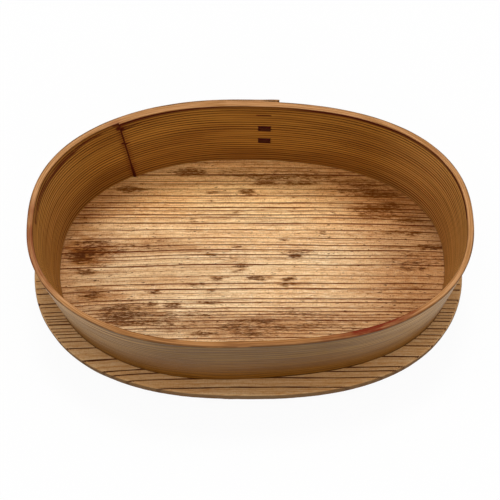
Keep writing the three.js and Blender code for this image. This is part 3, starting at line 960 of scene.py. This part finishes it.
# ---------------------------------------------------------------- materials
BAND_RING_PITCH = 2.3
OUTER_RING_PITCH = 3.3
BOARD_RING_PITCH = 1.35


def rgb(red, green, blue):
    """A colour from its display values, 0 to 255."""
    linear = [((v / 255 + 0.055) / 1.055) ** 2.4 if v > 10 else v / 255 / 12.92 for v in (red, green, blue)]
    return (*linear, 1.0)


def grey(level):
    return (level, level, level, 1.0)


class Shading:
    """Short ways to add and join the nodes of a material, or of the world."""

    def __init__(self, owner, output="ShaderNodeOutputMaterial"):
        owner.use_nodes = True
        self.owner = owner
        self.tree = owner.node_tree
        self.tree.nodes.clear()
        self.output = self.tree.nodes.new(output)

    def put(self, socket, value):
        if isinstance(value, bpy.types.NodeSocket):
            self.tree.links.new(value, socket)
        else:
            socket.default_value = value

    def node(self, kind, inputs={}, **settings):
        node = self.tree.nodes.new(kind)
        for key, value in settings.items():
            setattr(node, key, value)
        for key, value in inputs.items():
            self.put(node.inputs[key], value)
        return node

    def math(self, operation, *values, clamp=False):
        values = dict(enumerate(values))
        return self.node("ShaderNodeMath", values, operation=operation, use_clamp=clamp).outputs[0]

    def times(self, *factors):
        return reduce(lambda a, b: self.math("MULTIPLY", a, b), factors)

    def most(self, *values):
        return reduce(lambda a, b: self.math("MAXIMUM", a, b), values)

    def plus(self, base, part, share=1.0):
        return self.math("MULTIPLY_ADD", part, share, base)

    def minus(self, a, b):
        return self.math("SUBTRACT", a, b)

    def field(self, name):
        return self.node("ShaderNodeAttribute", attribute_name=name).outputs["Fac"]

    def fields(self, *names):
        return [self.field(name) for name in names]

    def axis(self, number):
        """One coordinate of the grain."""
        return self.node("ShaderNodeSeparateXYZ", {0: self.grain}).outputs[number]

    def noise(self, scale, detail, roughness=0.5, shift=(0, 0, 0)):
        """Noise over the grain's coordinates, scaled along each."""
        place = self.node("ShaderNodeMapping", {"Vector": self.grain, "Scale": scale, "Location": shift})
        inputs = {"Vector": place.outputs[0], "Scale": 1.0, "Detail": detail, "Roughness": roughness}
        return self.node("ShaderNodeTexNoise", inputs).outputs["Fac"]

    def ramp(self, value, low, high, to_low=0.0, to_high=1.0):
        inputs = {"Value": value, "From Min": low, "From Max": high, "To Min": to_low, "To Max": to_high}
        return self.node("ShaderNodeMapRange", inputs, interpolation_type="SMOOTHSTEP").outputs[0]

    def ring_lines(self, place, pitch, sway, low, high, end):
        """Lines that darken slowly across each growth ring of an even pitch and end sharply."""
        ring = self.math("FRACT", self.plus(self.math("DIVIDE", place, pitch), sway))
        return self.times(self.ramp(ring, low, high), self.ramp(ring, 1.0, end))

    def mix(self, share, a, b, blend="MIX"):
        inputs = {0: share, 6: a, 7: b}
        return self.node("ShaderNodeMix", inputs, data_type="RGBA", blend_type=blend).outputs[2]

    def coat(self, share, paint, blend="MIX"):
        """Lays one more colour over the surface."""
        self.colour = self.mix(share, self.colour, paint, blend)

    def finish(self, roughness, height, distance, **fixed):
        """The surface itself; height is in units of distance, in metres."""
        bump = self.node("ShaderNodeBump", {"Height": height, "Distance": distance, "Strength": 1.0})
        inputs = {"Base Color": self.colour, "Roughness": roughness, "Normal": bump.outputs[0]}
        inputs |= {key.replace("_", " "): value for key, value in fixed.items()}
        shader = self.node("ShaderNodeBsdfPrincipled", inputs)
        self.put(self.output.inputs["Surface"], shader.outputs[0])
        return self.owner

    def blend(self, share, below, above):
        """Two shaders in one surface."""
        inputs = {0: share, 1: below.outputs[0], 2: above.outputs[0]}
        self.put(self.output.inputs["Surface"], self.node("ShaderNodeMixShader", inputs).outputs[0])
        return self.owner

    def background_rays(self):
        """1 for the rays that meet the plain white background."""
        path = self.node("ShaderNodeLightPath")
        return self.most(*(path.outputs[f"Is {ray} Ray"] for ray in ("Camera", "Glossy", "Transmission")))


def wood(name):
    s = Shading(bpy.data.materials.new(name))
    s.grain = s.node("ShaderNodeAttribute", attribute_name="grain").outputs["Vector"]
    return s


def board_material():
    s = wood("worn cedar board")
    late, ring, stain, crowd, shade = s.fields("late", "ring", "stain", "cluster", "shade")
    inside, face = s.fields("inside", "face")
    across = s.axis(1)
    side = s.minus(1, face)
    broad = s.noise((0.018, 0.09, 0.05), 3)
    streaks = s.noise((0.03, 1.1, 0.4), 4, 0.6)
    fibres = s.noise((0.22, 2.6, 1.2), 6, 0.75)
    hatch = s.noise((1.5, 0.7, 1.5), 3, 0.7, (3, 1, 6))
    frayed = s.noise((0.3, 1.7, 0.6), 6, 0.7, (1, 8, 2))
    flecks = s.noise((0.28, 1.05, 0.6), 3, 0.55, (7, 2, 9))
    # Wood between the growth lines
    s.colour = s.mix(s.ramp(broad, 0.35, 0.65), rgb(255, 226, 176), rgb(246, 204, 148))
    s.coat(s.times(s.ramp(ring, 0.3, 1.0), 0.4), rgb(196, 134, 70))
    s.coat(s.ramp(streaks, 0.42, 0.7, 0, 0.45), rgb(160, 100, 44))
    # Light fibres of the grain, made near-white as painted glints of sheen
    s.coat(s.ramp(fibres, 0.5, 0.64, 0, 0.7), rgb(255, 238, 200))
    s.coat(s.ramp(fibres, 0.5, 0.34, 0, 0.6), rgb(146, 86, 34))
    s.coat(s.ramp(hatch, 0.5, 0.66, 0, 0.4), rgb(160, 100, 46))
    sway = s.times(s.noise((0.012, 0.3, 0.22), 2), 1.6)
    minor = s.ring_lines(across, BOARD_RING_PITCH, sway, 0.6, 0.85, 0.95)
    s.coat(s.times(minor, s.ramp(streaks, 0.4, 0.6), 0.5), rgb(134, 76, 30))
    # Brown round the stains, and darker towards the ends as partly painted shade
    s.coat(shade, rgb(188, 144, 76), "MULTIPLY")
    s.coat(s.times(s.ramp(across, 4, 46), inside), rgb(255, 238, 206), "MULTIPLY")
    s.coat(s.times(s.minus(1, inside), 0.7), rgb(160, 108, 50))
    # Growth lines
    broken = s.ramp(s.noise((0.11, 0.8, 0.3), 3, shift=(3, 5, 0)), 0.3, 0.5, 0.85, 1)
    line = s.times(s.ramp(late, 0.06, 0.36), broken)
    ink = s.mix(inside, rgb(66, 24, 0), rgb(98, 38, 0))
    s.coat(s.times(line, s.ramp(face, 0, 1, 0.6, 0.97)), ink)
    # Stains, and flecks that are greyer in front, with painted glints on the fibres there
    soft = s.times(s.ramp(stain, 0.05, 0.7), s.ramp(frayed, 0.36, 0.56, 0.35, 1))
    s.coat(s.times(soft, 0.75), rgb(132, 74, 8))
    s.coat(s.times(crowd, s.ramp(frayed, 0.4, 0.6, 0.1, 0.8)), rgb(196, 160, 130), "MULTIPLY")
    dark = s.plus(s.plus(frayed, crowd, 0.14), stain, 0.24)
    dark = s.times(s.ramp(dark, 0.61, 0.76), s.ramp(fibres, 0.64, 0.5, 0.15, 1))
    spots = s.ramp(s.plus(flecks, shade, 0.05), 0.63, 0.71)
    dark = s.most(dark, s.times(spots, inside))
    grey_and_glint = s.times(crowd, s.ramp(across, 10, -20))
    stained = s.mix(s.ramp(streaks, 0.4, 0.6), rgb(92, 42, 2), rgb(60, 22, 0))
    stained = s.mix(s.ramp(across, 8, 36, 0, 0.8), stained, rgb(112, 60, 4))
    stained = s.mix(s.times(grey_and_glint, 0.6), stained, rgb(96, 62, 30))
    s.coat(s.times(dark, 0.86), stained)
    # Painted glints on the light fibres in front
    s.coat(s.times(grey_and_glint, s.ramp(fibres, 0.54, 0.64, 0, 0.7)), rgb(250, 210, 158))
    # Painted shade at the wall's foot, and the board's edge
    s.coat(s.times(s.field("foot"), 0.06), rgb(120, 62, 10))
    s.coat(s.times(side, 0.75), rgb(84, 58, 32))
    rough = s.ramp(s.plus(fibres, stain, 0.3), 0.3, 0.9, 0.27, 0.6)
    rough = s.most(rough, s.times(side, 0.85))
    relief = s.plus(s.times(streaks, 0.6), fibres, 0.8)
    relief = s.minus(relief, s.times(s.most(line, dark), 0.5))
    return s.finish(rough, relief, 0.00016, Specular_IOR_Level=0.07)


def band_material():
    s = wood("worn cedar band")
    height, below, outside, across = s.fields("height", "below", "outside", "across")
    from_end, strip, streak = s.fields("from_end", "strip", "streak")
    up = s.axis(2)
    inward = s.minus(1, outside)
    rim = s.ramp(below, *RIM_EDGE)
    off_rim = s.minus(1, rim)
    broad = s.noise((0.015, 0.05, 0.05), 3)
    fine = s.noise((0.03, 0.6, 2.0), 3, 0.6)
    fibres = s.noise((0.09, 1.4, 5.0), 3, 0.6)
    # Growth lines: straight inside, and in long waves outside
    depth = s.noise((0.02, 0.3, 0.3), 2, shift=(5, 1, 8))
    sway = s.times(s.noise((0.004, 0.06, 0.08), 1), 1.4)
    late = s.ring_lines(up, BAND_RING_PITCH, sway, 0.4, 0.74, 0.94)
    late = s.times(late, s.ramp(depth, 0.34, 0.6, 0.55, 1))
    drift = s.times(s.noise((0.007, 0.02, 0.016), 2, 0.4, (4, 0, 9)), 16)
    waves = s.ring_lines(up, OUTER_RING_PITCH, drift, 0.35, 0.8, 0.92)
    waves = s.times(waves, s.ramp(depth, 0.3, 0.6, 0.35, 1))
    late = s.plus(late, s.minus(waves, late), outside)
    # Wood inside and outside
    inner = s.mix(s.ramp(broad, 0.35, 0.65), rgb(194, 134, 52), rgb(172, 114, 42))
    # Inside darker towards its foot: painted shade
    inner = s.mix(s.ramp(height, 0.0, 0.4, 0.4, 0), inner, rgb(130, 74, 22))
    # Inside lighter towards the ends: painted light
    inner = s.mix(s.times(s.field("ends"), 0.7), inner, rgb(226, 168, 92))
    # Outside golden-brown at the foot and greyer higher up: partly weathering, partly painted reflection
    outer = s.mix(s.ramp(height, 0.1, 0.85), rgb(126, 75, 0), rgb(129, 92, 12))
    outer = s.mix(s.ramp(broad, 0.4, 0.62, 0, 0.2), outer, rgb(96, 66, 22))
    # Painted sheen on the outside towards the ends, stronger higher up
    sheen = s.times(s.field("flank"), s.ramp(height, 0.1, 0.85, 0.1, 0.75))
    outer = s.mix(sheen, outer, rgb(212, 166, 102))
    bands = s.noise((0.007, 0.2, 0.5), 3, 0.6, (2, 2, 5))
    outer = s.mix(s.ramp(bands, 0.46, 0.58, 0, 0.45), outer, rgb(88, 50, 6))
    s.colour = s.mix(outside, inner, outer)
    s.coat(s.times(late, s.ramp(outside, 0.2, 0.8, 1, 0.85)), rgb(76, 38, 0))
    s.coat(s.ramp(fine, 0.5, 0.66, 0, 0.4), rgb(100, 54, 16))
    s.coat(s.ramp(fibres, 0.55, 0.75, 0, 0.3), rgb(206, 150, 76))
    # Reddish streaks, the top slit's dark edge, a painted shadow under the rim inside, and a dark line under
    # the rim outside
    torn = s.noise((0.045, 0.4, 0.9), 4, 0.65, (8, 3, 2))
    torn = s.times(s.ramp(s.plus(torn, streak, 0.4), 0.6, 0.8), s.ramp(streak, 0.02, 0.2))
    s.coat(s.times(torn, 0.9), rgb(84, 18, 0))
    slit = s.times(s.ramp(s.field("lace_run"), LACE_WIDTH / 2 + 1, LACE_WIDTH / 2), inward)
    off_slit = s.math("ABSOLUTE", s.minus(up, BOARD_THICKNESS + TOP_SLIT_HEIGHT))
    s.coat(s.times(slit, s.ramp(off_slit, 1.2, 0.3, 0, 0.8)), rgb(92, 26, 8))
    # Painted shadow under the rim's inner arris
    soot = s.times(s.ramp(below, 2.8, 2.0), inward, s.field("soot"))
    broken = s.ramp(s.noise((0.05, 0.1, 0.3), 3, shift=(0, 4, 7)), 0.3, 0.5, 0.8, 1)
    s.coat(s.times(soot, broken, 0.97), rgb(76, 10, 0))
    s.coat(s.times(s.ramp(below, 1.7, 1.0), outside, 0.75), rgb(60, 36, 16))
    # Rim, painted lighter at the back and the ends as a highlight, with a dark outer arris and reddish worn
    # places
    rim_grain = s.ramp(s.noise((0.05, 2.2, 0.3), 3), 0.38, 0.62)
    dull = s.mix(rim_grain, rgb(160, 110, 62), rgb(124, 78, 36))
    pale = s.mix(rim_grain, rgb(182, 133, 88), rgb(150, 102, 54))
    s.coat(rim, s.mix(s.field("pale"), dull, pale))
    arris = s.ramp(s.noise((0.09, 0.5, 0.5), 3, shift=(6, 2, 3)), 0.36, 0.56, 0.3, 0.75)
    s.coat(s.times(arris, rim, s.ramp(across, 0.34, 0.14)), rgb(84, 54, 28))
    worn = s.plus(s.noise((0.12, 0.9, 0.2), 4, 0.6, (2, 6, 1)), across, 0.35)
    worn = s.times(s.field("patch"), s.ramp(worn, 0.42, 0.8, 0.25, 1.1))
    s.coat(s.math("MINIMUM", worn, 0.95), rgb(104, 26, 2))
    # Seam and splits at the strip's inner end; the splits are painted dark as shade
    ragged = s.ramp(s.noise((0.6, 1, 1.2), 3, 0.6), 0.36, 0.62, 0.3, 1)
    s.coat(s.times(s.ramp(from_end, 3.6, 0.2), ragged, inward, off_rim, 0.6), rgb(104, 34, 10))
    width = s.ramp(up, BOARD_THICKNESS + 16, BOARD_THICKNESS + 5, 0.5, 1.1)
    seam = s.ramp(s.math("DIVIDE", from_end, width), 1.0, 0.4)
    near_end = s.most(strip, s.ramp(from_end, 2.8, 1.2))
    # Painted shade in the splits
    splits = s.times(split_mask(s, from_end, up), near_end)
    notch = s.times(s.ramp(from_end, 4.2, 2.4), s.minus(1, strip), s.ramp(below, 3.2, 2.0), 0.8)
    s.coat(s.times(s.most(seam, splits, notch), inward, off_rim, 0.92), rgb(76, 8, 0))
    rough = s.plus(s.ramp(outside, 0, 1, 0.55, 0.36), s.ramp(fine, 0.3, 0.7, 0.0, 0.2))
    relief = s.plus(s.times(late, s.ramp(outside, 0, 1, -1, -0.35)), fibres, 0.4)
    return s.finish(rough, relief, 0.00012, Specular_IOR_Level=0.085)


def split_mask(s, from_end, up):
    """1 where the splits that open at the strip's inner end are painted dark as shade."""
    found = []
    for height, length, mouth in END_SPLITS:
        reach = s.math("SUBTRACT", 1, s.math("DIVIDE", from_end, length), clamp=True)
        off = s.math("ABSOLUTE", s.minus(up, BOARD_THICKNESS + height))
        found.append(s.ramp(s.minus(s.times(reach, mouth / 2 + 0.7), off), -0.25, 0.15))
    return s.most(*found)


def bark_material():
    s = wood("cherry bark")
    bands = s.noise((0.5, 2.6, 1), 3, 0.6)
    pores = s.noise((1.1, 5.5, 1), 2, shift=(4, 2, 0))
    s.colour = s.mix(s.ramp(bands, 0.35, 0.65), rgb(72, 8, 0), rgb(42, 2, 0))
    s.coat(s.ramp(pores, 0.62, 0.74, 0, 0.6), rgb(120, 58, 28))
    rough = s.ramp(bands, 0.3, 0.7, 0.34, 0.55)
    return s.finish(rough, s.plus(bands, pores), 0.00008, Specular_IOR_Level=0.08)


def peg_material():
    s = wood("split bamboo")
    strands = s.noise((4.5, 4.5, 0.2), 3, 0.6)
    s.colour = s.mix(s.ramp(strands, 0.4, 0.66), rgb(206, 168, 112), rgb(150, 108, 62))
    return s.finish(s.ramp(strands, 0.3, 0.7, 0.5, 0.7), strands, 0.00006)


# ---------------------------------------------------------------- floor, light and camera
FLOOR_HALF = 4000
FLOOR_Z = -0.05
FLOOR_SHADE = 0.8
SPECKLE_SHADE = 0.7
SPECKLE_SCALE = (40, 40, 40)
FLOOR_GLOW = 0.93
BACKGROUND = 1.0
AMBIENT = 0.45

# Name, place, target, width, height and power
LAMPS = (
    ("overhead", (-20, 0, 1000), (0, 0, 0), 1500, 1200, 6.3),
    ("sheen", (6, 300, 930), (0, 0, 0), 150, 130, 3.0),
    ("front", (60, -800, 600), (0, 0, 30), 700, 400, 1.2),
)

# The photograph's viewpoint, from the outlines of the rim, the floor and the board
CAMERA_PLACE = (2.754, -165.871, 488.513)
CAMERA_PITCH = 1.22489
CAMERA_YAW = 0.01067
CAMERA_ROLL = -0.01116
FOCAL_PIXELS = 1000
PHOTO_PIXELS = 500
SENSOR = 36
CLIP_START = 0.01


def floor_material():
    s = Shading(bpy.data.materials.new("pale floor"))
    s.grain = s.node("ShaderNodeTexCoord").outputs["Object"]
    speckle = s.ramp(s.noise(SPECKLE_SCALE, 3), 0.3, 0.7, 0, 0.04)
    matte = s.node("ShaderNodeBsdfDiffuse", {"Color": s.mix(speckle, grey(FLOOR_SHADE), grey(SPECKLE_SHADE))})
    glow = s.node("ShaderNodeEmission", {"Color": grey(1.0), "Strength": BACKGROUND})
    return s.blend(s.times(s.background_rays(), FLOOR_GLOW), matte, glow)


def make_stage():
    corners = [(-1, -1), (1, -1), (1, 1), (-1, 1)]
    points = [(x * FLOOR_HALF, y * FLOOR_HALF, FLOOR_Z) for x, y in corners]
    floor = mesh_object("floor", points, [(0, 1, 2, 3)])
    floor.data.materials.append(floor_material())
    s = Shading(bpy.data.worlds.new("studio"), "ShaderNodeOutputWorld")
    light, shown = (
        s.node("ShaderNodeBackground", {"Color": grey(1.0), "Strength": strength})
        for strength in (AMBIENT, BACKGROUND)
    )
    bpy.context.scene.world = s.blend(s.background_rays(), light, shown)


def stand(thing, place, right, up, forward):
    """Puts a lamp or camera at a place, looking along forward."""
    turn = Matrix(np.stack([right, up, -forward], 1).tolist()).to_4x4()
    thing.matrix_world = Matrix.Translation([v * METRES for v in place]) @ turn


def make_lamp(name, place, target, width, height, power):
    lamp = bpy.data.lights.new(name, "AREA")
    lamp.shape = "RECTANGLE"
    lamp.size, lamp.size_y = width * METRES, height * METRES
    lamp.energy = power
    forward = np.array(target, float) - np.array(place, float)
    forward /= np.linalg.norm(forward)
    right = np.cross(forward, (0, 1, 0) if abs(forward[2]) > 0.9 else (0, 0, 1))
    right /= np.linalg.norm(right)
    stand(add_object(name, lamp), place, right, np.cross(right, forward), forward)


def make_camera():
    level = np.array([math.cos(CAMERA_YAW), math.sin(CAMERA_YAW), 0])
    forward = np.array([-level[1], level[0], 0]) * math.cos(CAMERA_PITCH)
    forward[2] = -math.sin(CAMERA_PITCH)
    rise = np.cross(level, forward)
    right = math.cos(CAMERA_ROLL) * level + math.sin(CAMERA_ROLL) * rise
    up = -math.sin(CAMERA_ROLL) * level + math.cos(CAMERA_ROLL) * rise
    lens = bpy.data.cameras.new("camera")
    lens.sensor_width = SENSOR
    lens.sensor_fit = "HORIZONTAL"
    lens.lens = FOCAL_PIXELS / PHOTO_PIXELS * SENSOR
    lens.clip_start = CLIP_START
    camera = add_object("camera", lens)
    stand(camera, CAMERA_PLACE, right, up, forward)
    bpy.context.scene.camera = camera


make_camera()
make_board(board_material())
make_band(band_material())
make_lacing(bark_material())
make_pegs(peg_material())
make_stage()
for lamp in LAMPS:
    make_lamp(*lamp)
bpy.context.scene.view_settings.view_transform = "Standard"
